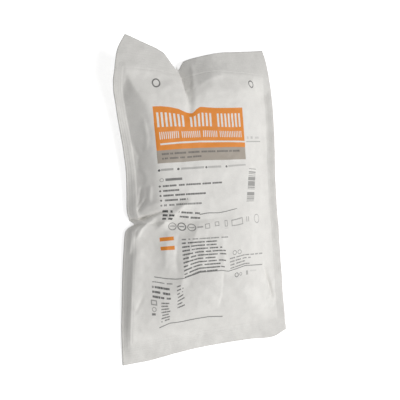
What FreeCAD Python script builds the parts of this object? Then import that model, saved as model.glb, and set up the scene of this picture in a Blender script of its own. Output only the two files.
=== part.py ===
import FreeCAD, Part
import math
import os

# Closed wound suction unit in its sealed sterile pouch, lying on its back.
# Frame: X to the right across the printed front, Y from the foot to the header,
# Z up out of the front, in millimetres. The pouch is one closed solid. A front
# web is drawn over the coil and the bellows, a back web lies on the ground, and
# the two meet in flat seals all round.

# Single sizes of the pouch, each with its own name
SIZES = [
    ("pouch_width", 215.0, "flat width over the side seals"),
    ("pouch_length", 363.0, "flat length from the foot edge to the header edge"),
    ("seal_thickness", 0.6, "two webs sealed together"),
    ("side_seal", 10.5, "width of the seal along each long edge"),
    ("foot_seal", 22.0, "depth of the seal along the foot edge"),
    ("upper_height", 36.0, "top of the front over the coil"),
    ("lower_height", 36.5, "top of the front over the bellows"),
    ("front_tilt", 0.02, "fall of the upper front from left to right, per mm"),
    ("flank_height", 12.5, "height of the lower front just above its left wall"),
    ("flank_rise", 0.3, "rise of the lower front from there to its top, per mm"),
    ("right_wall_rise", 0.62, "rise of the right wall per mm"),
    ("head_wall_rise", 0.42, "rise of the front away from the header seal, per mm"),
    ("foot_wall_rise", 0.85, "rise of the front away from the foot seal, per mm"),
    ("back_wall_rise", 0.9, "rise of the back web towards the side seals, per mm"),
    ("back_head_rise", 1.1, "rise of the back web towards the header, per mm"),
    ("back_foot_rise", 0.5, "rise of the back web towards the foot, per mm"),
    ("rest_depth", 2.0, "how far the slack back web is pressed flat by the ground"),
    ("left_wall_round", 0.18, "softness of the bend above the upper left wall, per mm of its height"),
    ("flank_round", 3.0, "softness of the bends below and above the lower flank"),
    ("wall_round", 8.0, "softness of the bend between the right wall and the front"),
    ("foot_round", 14.0, "softness of the bend between the foot wall and the front"),
    ("seal_round", 2.0, "softness of the bend between wall and seal"),
    ("waist_blend", 30.0, "length over which the lower bulge turns into the upper"),
    ("header_blend", 26.0, "length over which the seal line turns into the walls"),
    ("header_reach", 86.0, "how far down the front the drawn header edge is felt"),
    ("pinch_in", 8.5, "depth of the notch in the left edge at the waist"),
    ("pinch_length", 5.5, "half length of that notch"),
    ("pinch_up", 155.5, "place of that notch, up from the foot edge"),
    ("vee_foot_x", -18.2, "foot of the V fold, across"),
    ("vee_foot_up", 282.0, "foot of the V fold, up from the foot edge"),
    ("vee_mouth_x", -20.4, "mouth of the V fold, across"),
    ("vee_mouth_up", 328.5, "mouth of the V fold, up from the foot edge"),
    ("vee_foot_height", 35.3, "height of the channel at the foot of the V"),
    ("vee_mouth_height", 10.6, "height of the channel at the mouth of the V"),
    ("vee_left_rise", 2.2, "rise of the left wall of the V per mm"),
    ("vee_right_rise", 1.0, "rise of the right wall of the V per mm"),
    ("vee_roll", 5.0, "softness of the bend where the left flap rolls into the V"),
    ("vee_crease", 2.0, "softness of the crease above the right wall of the V"),
]

# Stations up the pouch: how far each long edge is drawn in, lifted and rolled
# there, and how steeply the left wall rises
LEFT_COLUMNS = ("left_in", "left_lift", "left_roll", "left_rise")
RIGHT_COLUMNS = ("right_in", "right_lift", "right_roll")
STATION_COLUMNS = ("up",) + LEFT_COLUMNS + RIGHT_COLUMNS
STATIONS = [
    ("foot_edge", 0.0, 0.0, 2.0, 0.0, 0.8, 3.0, 2.0, 0.0),
    ("foot_body", 35.0, 0.8, 3.0, 3.0, 0.9, 5.0, 5.0, -1.0),
    ("low_body", 86.0, 5.0, 3.5, 5.0, 1.0, 5.5, 7.0, -1.0),
    ("hip", 131.0, 10.0, 4.5, 5.0, 1.0, 4.5, 7.5, -1.5),
    ("waist", 171.0, 15.0, 7.0, 5.5, 1.1, 4.5, 8.5, -2.5),
    ("label_foot", 216.0, 15.5, 12.5, -1.0, 1.1, 3.0, 10.0, -3.0),
    ("label_head", 276.0, 8.0, 19.0, -1.0, 1.1, 0.5, 12.0, -3.0),
    ("shoulder", 306.0, 2.8, 30.0, 0.0, 1.2, 1.2, 12.0, -3.0),
    ("seal_line", 320.0, 3.8, 36.0, 0.0, 1.2, 2.5, 12.0, -2.0),
    ("head_middle", 345.0, 8.0, 39.5, 0.0, 1.2, 3.6, 10.0, -1.0),
    ("head_edge", 363.0, 17.0, 41.0, 0.0, 1.2, 6.5, 8.0, 0.0),
]

# Places across the header: how far its edge and its seal line are drawn down
# from the flat sheet, and how high each of them lies
HEADER_COLUMNS = ("across", "edge_down", "edge_lift", "line_down", "line_lift")
HEADER = [
    ("left_corner", -92.0, 8.0, 41.0, 44.5, 38.5),
    ("flap_crest", -56.0, 20.8, 40.0, 45.5, 38.0),
    ("flap_bend", -46.5, 25.5, 39.0, 47.0, 37.5),
    ("flap_end", -33.0, 42.0, 36.0, 48.0, 36.5),
    ("channel", -26.0, 34.0, 30.0, 47.5, 35.0),
    ("ledge_foot", -18.5, 33.0, 22.0, 46.5, 33.0),
    ("ledge", -12.0, 22.5, 18.0, 45.0, 32.5),
    ("rise", -4.0, 19.2, 21.0, 43.0, 31.5),
    ("near_rise", 15.0, 14.0, 13.0, 38.5, 27.0),
    ("middle", 45.0, 6.4, 8.0, 36.5, 22.5),
    ("right_corner", 102.0, -0.4, 8.0, 34.5, 13.0),
]

# Places across the foot: how far its edge is drawn up from the flat sheet
FOOT_COLUMNS = ("across", "edge_up")
FOOT = [
    ("foot_left", -76.0, -0.5),
    ("foot_middle", -22.0, 3.6),
    ("foot_pleat", 48.0, 2.5),
    ("foot_right", 84.0, 0.0),
    ("foot_corner", 104.0, 6.0),
]

# Folds of the front web: three points of each line, its height above the
# front (below it where negative) and its half width
FOLD_COLUMNS = ("x1", "y1", "x2", "y2", "x3", "y3", "height", "half_width")
FOLDS = [
    ("vee_ledge", -12.0, 112.0, -8.5, 128.0, -3.0, 166.0, 1.5, 2.5),
    ("vee_dimple", -19.0, 116.0, -20.0, 98.0, -20.0, 80.0, -1.5, 6.0),
    ("pinch_crease", -104.0, -27.0, -78.0, -25.0, -56.0, -17.0, -8.0, 3.6),
    ("pinch_lobe", -84.0, -14.0, -70.0, -10.0, -54.0, -5.0, 2.5, 7.0),
    ("pinch_crest", -80.0, -48.0, -73.0, -34.0, -62.0, -25.0, 2.0, 5.0),
    ("flank_crest", -80.0, -36.0, -85.0, -75.0, -97.0, -152.0, 2.0, 5.0),
    ("belly_crest", -47.0, -32.0, -54.0, -60.0, -51.0, -94.0, 1.8, 5.0),
    ("belly_valley", -42.0, -46.0, -42.0, -90.0, -58.0, -140.0, -1.6, 4.5),
    ("diagonal_crest", -62.0, -40.0, -48.0, -22.0, -30.0, -9.0, 2.0, 5.0),
    ("dome_valley", 16.0, -82.0, 13.0, -106.0, 0.0, -142.0, -2.0, 7.0),
    ("dome_crest", 5.0, -86.0, 4.0, -100.0, -3.0, -116.0, 1.0, 3.5),
    ("dome", 26.0, -108.0, 42.0, -122.0, 58.0, -110.0, 1.5, 16.0),
    ("right_groove", 72.0, -84.0, 80.0, -108.0, 87.0, -136.0, -3.0, 4.0),
    ("right_bump", 76.0, -126.0, 83.0, -134.0, 89.0, -142.0, 2.5, 6.0),
]

TABLES = [(STATIONS, STATION_COLUMNS), (HEADER, HEADER_COLUMNS), (FOOT, FOOT_COLUMNS), (FOLDS, FOLD_COLUMNS)]

# Corners of the facets, counted across and along each web
POINTS_ACROSS = 48
POINTS_ALONG = 73

document = FreeCAD.newDocument("wound_suction_pouch")
sheet = document.addObject("Spreadsheet::Sheet", "sizes")


def fill_sheet():
    """Every size goes into a cell of its own, with its name beside it."""
    rows = [(name, value) for name, value, meaning in SIZES]
    for table, columns in TABLES:
        for line in table:
            rows += [(line[0] + "_" + column, value) for column, value in zip(columns, line[1:])]
    for number, (name, value) in enumerate(rows, start=1):
        sheet.set("A%d" % number, name)
        sheet.set("B%d" % number, str(value))
        sheet.setAlias("B%d" % number, name)


fill_sheet()
document.recompute()


def size(name):
    return float(sheet.get(name))


def read_table(table, columns):
    """The rows of one table, read back from the sheet."""
    return [[size(line[0] + "_" + column) for column in columns] for line in table]


width = size("pouch_width")
length = size("pouch_length")
foot_y = -length / 2
head_y = length / 2
thickness = size("seal_thickness")
stations = read_table(STATIONS, STATION_COLUMNS)
header = read_table(HEADER, HEADER_COLUMNS)
foot = read_table(FOOT, FOOT_COLUMNS)
folds = read_table(FOLDS, FOLD_COLUMNS)


def curve(knots, at):
    """A smooth curve through its knots, level beyond the first and the last."""
    if at <= knots[0][0]:
        return knots[0][1]
    if at >= knots[-1][0]:
        return knots[-1][1]
    first = max(i for i in range(len(knots) - 1) if knots[i][0] <= at)

    def steepness(i):
        before = knots[max(i - 1, 0)]
        after = knots[min(i + 1, len(knots) - 1)]
        return (after[1] - before[1]) / (after[0] - before[0])

    (start, low), (end, high) = knots[first], knots[first + 1]
    span = end - start
    t = (at - start) / span
    from_ends = low * (1 + 2 * t) * (1 - t) ** 2 + high * t * t * (3 - 2 * t)
    from_slopes = steepness(first) * t * (1 - t) ** 2 - steepness(first + 1) * t * t * (1 - t)
    return from_ends + span * from_slopes


def straight(knots, at):
    """Straight runs between knots, level beyond the first and the last."""
    if at <= knots[0][0]:
        return knots[0][1]
    for (start, low), (end, high) in zip(knots, knots[1:]):
        if at <= end:
            return low + (high - low) * (at - start) / (end - start)
    return knots[-1][1]


def ramp(start, end, at):
    t = min(1.0, max(0.0, (at - start) / (end - start)))
    return t * t * (3 - 2 * t)


def lower_of(a, b, softness):
    return (a + b - math.hypot(a - b, softness)) / 2


def higher_of(a, b, softness):
    return (a + b + math.hypot(a - b, softness)) / 2


def along_pouch(column):
    """Knots of one station column against Y."""
    place = STATION_COLUMNS.index(column)
    return [(foot_y + line[0], line[place]) for line in stations]


def across_header(column):
    place = HEADER_COLUMNS.index(column)
    return [(line[0], line[place]) for line in header]


LEFT_IN = along_pouch("left_in")
LEFT_LIFT = along_pouch("left_lift")
LEFT_ROLL = along_pouch("left_roll")
LEFT_RISE = along_pouch("left_rise")
RIGHT_IN = along_pouch("right_in")
RIGHT_LIFT = along_pouch("right_lift")
RIGHT_ROLL = along_pouch("right_roll")
EDGE_DOWN = across_header("edge_down")
EDGE_LIFT = across_header("edge_lift")
LINE_DOWN = across_header("line_down")
LINE_LIFT = across_header("line_lift")
FOOT_UP = [tuple(line) for line in foot]

pinch_y = foot_y + size("pinch_up")
pinch_in = size("pinch_in")
pinch_length = size("pinch_length")
header_start = head_y - size("header_reach")
header_blend = size("header_blend")
side_seal = size("side_seal")
foot_seal = size("foot_seal")
foot_line = foot_y + foot_seal


def left_edge(y):
    return -width / 2 + curve(LEFT_IN, y) + pinch_in * math.exp(-((y - pinch_y) / pinch_length) ** 2)


def right_edge(y):
    return width / 2 - curve(RIGHT_IN, y)


def sheet_to_frame(u, v):
    """Where a point of the flat sheet comes to lie in plan."""
    share = u / width + 0.5
    x = left_edge(v) * (1 - share) + right_edge(v) * share
    down = ramp(header_start, head_y, v) * straight(EDGE_DOWN, x)
    up = ramp(foot_line, foot_y, v) * curve(FOOT_UP, x)
    return x, v - down + up


def left_seal_height(y, inwards):
    """Height of the left seal, a length inwards from its outer edge."""
    return curve(LEFT_LIFT, y) + curve(LEFT_ROLL, y) * ramp(0.0, side_seal, inwards)


def right_seal_height(y, inwards):
    return curve(RIGHT_LIFT, y) + curve(RIGHT_ROLL, y) * ramp(0.0, side_seal, inwards)


def seal_height(x, y):
    """Height of the sealed sheet, as if there were nothing in the pouch."""
    from_left = x - left_edge(y)
    from_right = right_edge(y) - x
    share = min(1.0, max(0.0, from_left / (from_left + from_right)))
    side = left_seal_height(y, from_left) * (1 - share) + right_seal_height(y, from_right) * share
    line_y = head_y - curve(LINE_DOWN, x)
    edge_y = head_y - straight(EDGE_DOWN, x)
    run = (y - line_y) / max(edge_y - line_y, side_seal / 2)
    head = curve(LINE_LIFT, x) * (1 - run) + straight(EDGE_LIFT, x) * run
    blend = ramp(line_y - header_blend, line_y, y)
    return side * (1 - blend) + head * blend


VEE_FOOT = (size("vee_foot_x"), foot_y + size("vee_foot_up"), size("vee_foot_height"))
VEE_MOUTH = (size("vee_mouth_x"), foot_y + size("vee_mouth_up"), size("vee_mouth_height"))
vee_left_rise = size("vee_left_rise")
vee_right_rise = size("vee_right_rise")
vee_roll = size("vee_roll")
vee_crease = size("vee_crease")


def press_vee(height, x, y):
    """Press the V fold into a height: two walls that meet along a falling channel."""
    run = (y - VEE_FOOT[1]) / (VEE_MOUTH[1] - VEE_FOOT[1])
    middle = VEE_FOOT[0] + (VEE_MOUTH[0] - VEE_FOOT[0]) * run
    channel = VEE_FOOT[2] + (VEE_MOUTH[2] - VEE_FOOT[2]) * run
    left_wall = channel + vee_left_rise * (middle - x)
    right_wall = channel + vee_right_rise * (x - middle)
    return max(lower_of(height, left_wall, vee_roll), lower_of(height, right_wall, vee_crease))


def fold_height(fold, x, y):
    """A ridge or a valley along a bent line, fading out at both ends."""
    points = [(fold[0], fold[1]), (fold[2], fold[3]), (fold[4], fold[5])]
    height, half_width = fold[6], fold[7]
    runs = [math.dist(points[0], points[1]), math.dist(points[1], points[2])]
    nearest, share, before = None, 0.0, 0.0
    for (ax, ay), (bx, by), run in zip(points, points[1:], runs):
        t = ((x - ax) * (bx - ax) + (y - ay) * (by - ay)) / run ** 2
        t = min(1.0, max(0.0, t))
        gap = math.hypot(x - ax - (bx - ax) * t, y - ay - (by - ay) * t)
        if nearest is None or gap < nearest:
            nearest, share = gap, (before + t * run) / sum(runs)
        before += run
    ends = ramp(0.0, 0.25, share) * ramp(1.0, 0.75, share)
    return height * ends * math.exp(-(nearest / half_width) ** 2)


upper_height = size("upper_height")
lower_height = size("lower_height")
front_tilt = size("front_tilt")
flank_height = size("flank_height")
flank_rise = size("flank_rise")
right_wall_rise = size("right_wall_rise")
head_wall_rise = size("head_wall_rise")
foot_wall_rise = size("foot_wall_rise")
back_wall_rise = size("back_wall_rise")
back_head_rise = size("back_head_rise")
back_foot_rise = size("back_foot_rise")
rest_depth = size("rest_depth")
left_wall_round = size("left_wall_round")
flank_round = size("flank_round")
wall_round = size("wall_round")
foot_round = size("foot_round")
seal_round = size("seal_round")
waist_blend = size("waist_blend")


def front_height(x, y):
    """The front web: walls up from the seals to the top of each bulge."""
    from_left = x - left_edge(y) - side_seal
    from_right = right_edge(y) - side_seal - x
    from_head = head_y - curve(LINE_DOWN, x) - y
    from_foot = y - foot_line
    blend = ramp(pinch_y - waist_blend / 2, pinch_y + waist_blend / 2, y)
    left_start = left_seal_height(y, side_seal)
    left_wall = left_start + curve(LEFT_RISE, y) * from_left
    right_wall = right_seal_height(y, side_seal) + right_wall_rise * from_right
    head_wall = curve(LINE_LIFT, x) + head_wall_rise * from_head
    foot_wall = left_seal_height(foot_line, side_seal) + foot_wall_rise * from_foot
    upper_top = upper_height - front_tilt * x
    wall_height = max(thickness, upper_top - left_start)
    upper = lower_of(upper_top, left_wall, left_wall_round * wall_height)
    upper = lower_of(lower_of(upper, right_wall, wall_round), head_wall, seal_round)
    lower = lower_of(lower_height, flank_height + flank_rise * from_left, flank_round)
    lower = lower_of(lower_of(lower, left_wall, flank_round), right_wall, wall_round)
    lower = lower_of(lower, foot_wall, foot_round)
    body = lower * (1 - blend) + upper * blend
    body += sum(fold_height(fold, x, y) for fold in folds)
    seal = press_vee(seal_height(x, y), x, y)
    return higher_of(seal + thickness / 2, press_vee(body, x, y), seal_round)


def back_height(x, y):
    """The back web: down from the seals to below the ground it rests on."""
    from_left = x - left_edge(y) - side_seal
    from_right = right_edge(y) - side_seal - x
    from_head = head_y - curve(LINE_DOWN, x) - y
    from_foot = y - foot_line
    left_wall = left_seal_height(y, side_seal) - back_wall_rise * from_left
    right_wall = right_seal_height(y, side_seal) - back_wall_rise * from_right
    head_wall = curve(LINE_LIFT, x) - back_head_rise * from_head
    foot_wall = left_seal_height(foot_line, side_seal) - back_foot_rise * from_foot
    back = higher_of(-rest_depth, higher_of(left_wall, right_wall, seal_round), seal_round)
    back = higher_of(back, higher_of(head_wall, foot_wall, seal_round), seal_round)
    seal = press_vee(seal_height(x, y), x, y)
    return lower_of(seal - thickness / 2, back, seal_round)


points = []


def lay_points(height):
    """The corners of one web, row by row from the foot. Gives its first number."""
    first = len(points)
    for j in range(POINTS_ALONG):
        v = length * (j / (POINTS_ALONG - 1) - 0.5)
        for i in range(POINTS_ACROSS):
            u = width * (i / (POINTS_ACROSS - 1) - 0.5)
            x, y = sheet_to_frame(u, v)
            points.append(FreeCAD.Vector(x, y, height(x, y)))
    return first


def cells(first):
    """The four corners of every cell of a web, turning left from its foot corner."""
    for j in range(POINTS_ALONG - 1):
        for i in range(POINTS_ACROSS - 1):
            corner = first + j * POINTS_ACROSS + i
            yield corner, corner + 1, corner + 1 + POINTS_ACROSS, corner + POINTS_ACROSS


def crease_slants(corners):
    """Whether the crease of a cell runs from its second corner to its fourth."""
    a, b, c, d = [points[number] for number in corners]
    middle = (a + b + c + d) / 4
    true_height = front_height(middle.x, middle.y)
    return abs((a.z + c.z) / 2 - true_height) > abs((b.z + d.z) / 2 - true_height)


def fold_webs(front, back):
    """Two facets for each cell of both webs, creased alike, the front facing up."""
    facets = []
    for a, b, c, d in cells(front):
        if crease_slants((a, b, c, d)):
            halves = [(a, b, d), (b, c, d)]
        else:
            halves = [(a, b, c), (a, c, d)]
        facets += halves
        for first, second, third in halves:
            facets.append((third - front + back, second - front + back, first - front + back))
    return facets


def close_rim(front, back):
    """Two narrow facets for each step round the edge of the pouch."""
    last_row = POINTS_ACROSS * (POINTS_ALONG - 1)
    walk = list(range(POINTS_ACROSS))
    walk += [POINTS_ACROSS * (j + 1) - 1 for j in range(1, POINTS_ALONG)]
    walk += [last_row + i for i in range(POINTS_ACROSS - 2, -1, -1)]
    walk += [POINTS_ACROSS * j for j in range(POINTS_ALONG - 2, -1, -1)]
    facets = []
    for here, there in zip(walk, walk[1:]):
        facets.append((front + here, back + here, back + there))
        facets.append((front + here, back + there, front + there))
    return facets


def faces_of(facets):
    """Plane faces for a list of facets, joined along their shared edges."""
    shape = Part.Shape()
    shape.makeShapeFromMesh((points, facets), thickness / 100)
    return shape


def pouch_shape():
    """Folded webs and a rim make a closed solid that rests on one flat face."""
    front = lay_points(front_height)
    back = lay_points(lambda x, y: max(0.0, back_height(x, y)))
    facets = fold_webs(front, back) + close_rim(front, back)
    resting = [facet for facet in facets if max(points[number].z for number in facet) == 0]
    folded = [facet for facet in facets if facet not in set(resting)]
    shell = Part.Shell(faces_of(folded).Faces + faces_of(resting).removeSplitter().Faces)
    shell.sewShape()
    return Part.Solid(shell)


def add_pouch():
    """The sealed pouch, centred over the middle of its own outline."""
    shape = pouch_shape()
    box = shape.BoundBox
    pouch = document.addObject("Part::Feature", "sealed_pouch")
    pouch.Label = "sealed_pouch"
    pouch.Shape = shape
    centre = FreeCAD.Vector(-box.Center.x, -box.Center.y, 0)
    pouch.Placement = FreeCAD.Placement(centre, FreeCAD.Rotation())
    return pouch


parts = [add_pouch()]
document.recompute()

for part in parts:
    if "Invalid" in part.State or "Error" in part.State:
        raise RuntimeError(part.Label + " failed: " + str(part.State))
    if part.Shape.isNull() or not part.Shape.isValid():
        raise RuntimeError(part.Label + " has no valid shape")

os.makedirs("parts", exist_ok=True)
for part in parts:
    part.Shape.exportStep(os.path.join("parts", part.Label + ".step"))
    box = part.Shape.BoundBox
    print(part.Label, "volume %.0f mm3" % part.Shape.Volume)
    print("box %.1f %.1f %.1f" % (box.XLength, box.YLength, box.ZLength))
    print("shift", part.Placement.Base)
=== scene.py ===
import math

import bpy
import numpy as np
from mathutils import Matrix, Vector, noise


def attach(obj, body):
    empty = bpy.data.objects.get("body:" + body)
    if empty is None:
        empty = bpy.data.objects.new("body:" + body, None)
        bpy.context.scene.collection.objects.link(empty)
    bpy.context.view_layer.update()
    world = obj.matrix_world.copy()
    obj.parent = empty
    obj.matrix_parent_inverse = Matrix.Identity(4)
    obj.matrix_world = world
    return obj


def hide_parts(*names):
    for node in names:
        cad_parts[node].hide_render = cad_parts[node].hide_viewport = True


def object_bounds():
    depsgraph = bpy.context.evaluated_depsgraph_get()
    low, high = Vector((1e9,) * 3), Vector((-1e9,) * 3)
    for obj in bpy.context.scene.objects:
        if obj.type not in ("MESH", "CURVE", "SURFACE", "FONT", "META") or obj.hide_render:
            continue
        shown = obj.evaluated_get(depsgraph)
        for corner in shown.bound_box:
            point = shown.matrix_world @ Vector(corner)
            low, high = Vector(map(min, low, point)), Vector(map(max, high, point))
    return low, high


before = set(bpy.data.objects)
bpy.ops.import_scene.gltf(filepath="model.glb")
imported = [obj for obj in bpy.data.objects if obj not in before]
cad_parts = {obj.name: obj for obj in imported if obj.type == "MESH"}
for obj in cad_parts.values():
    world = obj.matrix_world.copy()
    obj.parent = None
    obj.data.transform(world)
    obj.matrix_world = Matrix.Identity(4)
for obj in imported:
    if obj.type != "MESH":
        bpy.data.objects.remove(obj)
CAD_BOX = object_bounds()

# A sealed paper pouch lying on its back, in the frame of its CAD solid: X to the
# right across the print, Y from the foot to the header, Z up out of the front.
# Its form is worked out in millimetres, as in the CAD source, and turned into
# metres when the mesh is made.
MM = 0.001
PIECE = "paper_pouch"
NODE = "sealed_pouch"

# Camera, in metres, as the photo was taken: from the left, over the middle
CAMERA_PLACE = Vector((-0.2369, -0.0394, 0.5295))
CAMERA_RIGHT = Vector((0.911, -0.078, 0.404))
CAMERA_UP = Vector((0.048, 0.995, 0.084))
CAMERA_LENS = 43.56
CAMERA_SENSOR = 36.0

# Studio, in metres and watts: a broad key light over the right shoulder, a pale floor
WHITE = (1.0, 1.0, 1.0, 1.0)
FLOOR_SIZE = 6.0
FLOOR_PAINT = (0.9, 0.9, 0.9, 1.0)
FLOOR_ROUGHNESS = 0.9
FLOOR_GLOW = 0.7
WORLD_STRENGTH = 0.26
KEY_PLACE = Vector((3.4, -1.75, 5.4))
KEY_SIZE = 4.8
KEY_POWER = 316.0

# Sizes of the pouch in millimetres: its flat sheet and its seals
WIDTH = 215.0
LENGTH = 363.0
SEAL_THICKNESS = 0.6
SIDE_SEAL = 10.5
FOOT_SEAL = 22.0
FOOT_Y = -LENGTH / 2
HEAD_Y = LENGTH / 2
FOOT_LINE = FOOT_Y + FOOT_SEAL

# The two bulges: how high they stand, and how steeply their walls rise from the seals
UPPER_HEIGHT = 36.0
LOWER_HEIGHT = 36.5
FRONT_TILT = 0.02
FLANK_HEIGHT = 12.5
FLANK_RISE = 0.3
RIGHT_WALL_RISE = 0.62
HEAD_WALL_RISE = 0.42
FOOT_WALL_RISE = 0.85
BACK_WALL_RISE = 0.9
BACK_HEAD_RISE = 1.1
BACK_FOOT_RISE = 0.5
REST_DEPTH = 2.0

# How softly walls, tops and seals run into each other
FLANK_ROUND = 3.0
WALL_ROUND = 8.0
FOOT_ROUND = 14.0
SEAL_ROUND = 2.0
WAIST_BLEND = 30.0
HEADER_BLEND = 26.0
HEADER_REACH = 86.0

# Up the upper bulge: how round its left shoulder is, as a share of the wall's height,
# and how fast its top falls away to the left of the shoulder
SHOULDER_PLACE = -28.0
SHOULDER_ROUND = [(-20.0, 0.4), (20.0, 0.4), (60.0, 0.28), (92.0, 0.18)]
SHOULDER_FALL = [(20.0, 0.1), (60.0, 0.0)]

# The notch in the left edge where the waist is pinched, and how far the mesh is
# denser around it
PINCH_Y = FOOT_Y + 155.5
NOTCH_Y = PINCH_Y - 4.0
PINCH_IN = 10.0
PINCH_ABOVE = 7.0
PINCH_BELOW = 3.6
PINCH_POWER = 1.3
WAIST_DENSE = 0.55
WAIST_DENSE_REACH = 26.0

# The V fold in the header: its lower and upper end (across, up, height), how steeply its
# walls rise, where the right one turns flatter, and how round its edges are
VEE_FOOT = (-18.2, FOOT_Y + 282.0, 35.3)
VEE_MOUTH = (-20.4, FOOT_Y + 328.5, 10.6)
VEE_LEFT_RISE = 2.2
VEE_RIGHT_RISE = 0.62
VEE_FACET = 11.0
VEE_FACET_RISE = 0.25
VEE_ROLL = 5.0
VEE_CREASE = 2.0

# Up the pouch: how far each long edge is drawn in, lifted and rolled there, and
# how steeply the left wall stands
STATIONS = [
    # up, left in, left lift, left roll, left rise, right in, right lift, right roll
    (0.0, 0.0, 2.0, 0.0, 0.8, 3.0, 2.0, 0.0),
    (35.0, 0.8, 3.0, 5.5, 0.9, 5.0, 5.0, -1.0),
    (86.0, 5.0, 3.5, 8.0, 1.0, 5.5, 7.0, -1.0),
    (131.0, 10.0, 4.5, 7.5, 1.0, 4.5, 7.5, -1.5),
    (171.0, 15.0, 7.0, 7.5, 1.1, 4.5, 8.5, -2.5),
    (216.0, 15.5, 12.5, 3.0, 1.05, 3.0, 10.0, -3.0),
    (276.0, 8.0, 19.0, 0.5, 0.9, 0.5, 12.0, -3.0),
    (306.0, 2.8, 30.0, 0.0, 1.2, 1.2, 12.0, -3.0),
    (320.0, 3.8, 36.0, 0.0, 1.2, 2.5, 12.0, -2.0),
    (345.0, 8.0, 39.5, 0.0, 1.2, 3.6, 10.0, -1.0),
    (363.0, 17.0, 41.0, 0.0, 1.2, 6.5, 8.0, 0.0),
]

# Across the header: how far its edge and seal line are drawn down, and lie high
HEADER = [
    # across, edge down, edge lift, line down, line lift
    (-92.0, 8.0, 41.0, 44.5, 38.5),
    (-56.0, 20.8, 40.0, 45.5, 38.0),
    (-46.5, 25.5, 39.0, 47.0, 37.5),
    (-33.0, 42.0, 36.0, 48.0, 36.5),
    (-26.0, 34.0, 30.0, 47.5, 35.0),
    (-18.5, 33.0, 22.0, 46.5, 33.0),
    (-12.0, 22.5, 18.0, 45.0, 32.5),
    (-4.0, 19.2, 21.0, 43.0, 31.5),
    (15.0, 14.0, 13.0, 38.5, 27.0),
    (45.0, 6.4, 8.0, 36.5, 22.5),
    (102.0, -0.4, 8.0, 34.5, 13.0),
]

# Across the foot: how far its edge is drawn up
FOOT_UP = [(-76.0, -0.5), (-22.0, 3.6), (48.0, 2.5), (84.0, 0.0), (104.0, 6.0)]

# Large folds of the front web: height, half width, line, and the share of the line
# over which each end fades out
LARGE_FOLDS = [
    (1.5, 2.5, [(-12.0, 112.0), (-8.5, 128.0), (-3.0, 166.0)]),
    (-1.5, 6.0, [(-19.0, 116.0), (-20.0, 98.0), (-20.0, 80.0)]),
    (-3.0, 2.2, [(-108.0, -25.0), (-80.4, -24.2), (-68.6, -21.6), (-52.0, -17.0)]),
    (0.9, 7.0, [(-84.0, -14.0), (-70.0, -10.0), (-54.0, -5.0)]),
    (1.0, 5.0, [(-82.0, -48.0), (-76.0, -34.0), (-65.0, -25.0)]),
    (0.8, 5.0, [(-80.0, -36.0), (-86.0, -75.0), (-98.0, -152.0)]),
    (1.2, 5.0, [(-47.0, -32.0), (-54.0, -60.0), (-51.0, -94.0)]),
    (2.0, 5.0, [(-62.0, -40.0), (-48.0, -22.0), (-30.0, -9.0)]),
    (1.5, 16.0, [(26.0, -108.0), (42.0, -122.0), (58.0, -110.0)]),
    (-3.0, 4.0, [(72.0, -84.0), (80.0, -108.0), (87.0, -136.0)]),
    (1.5, 6.0, [(76.0, -126.0), (83.0, -134.0), (89.0, -142.0)]),
]
FOLD_FADE = 0.25

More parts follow.
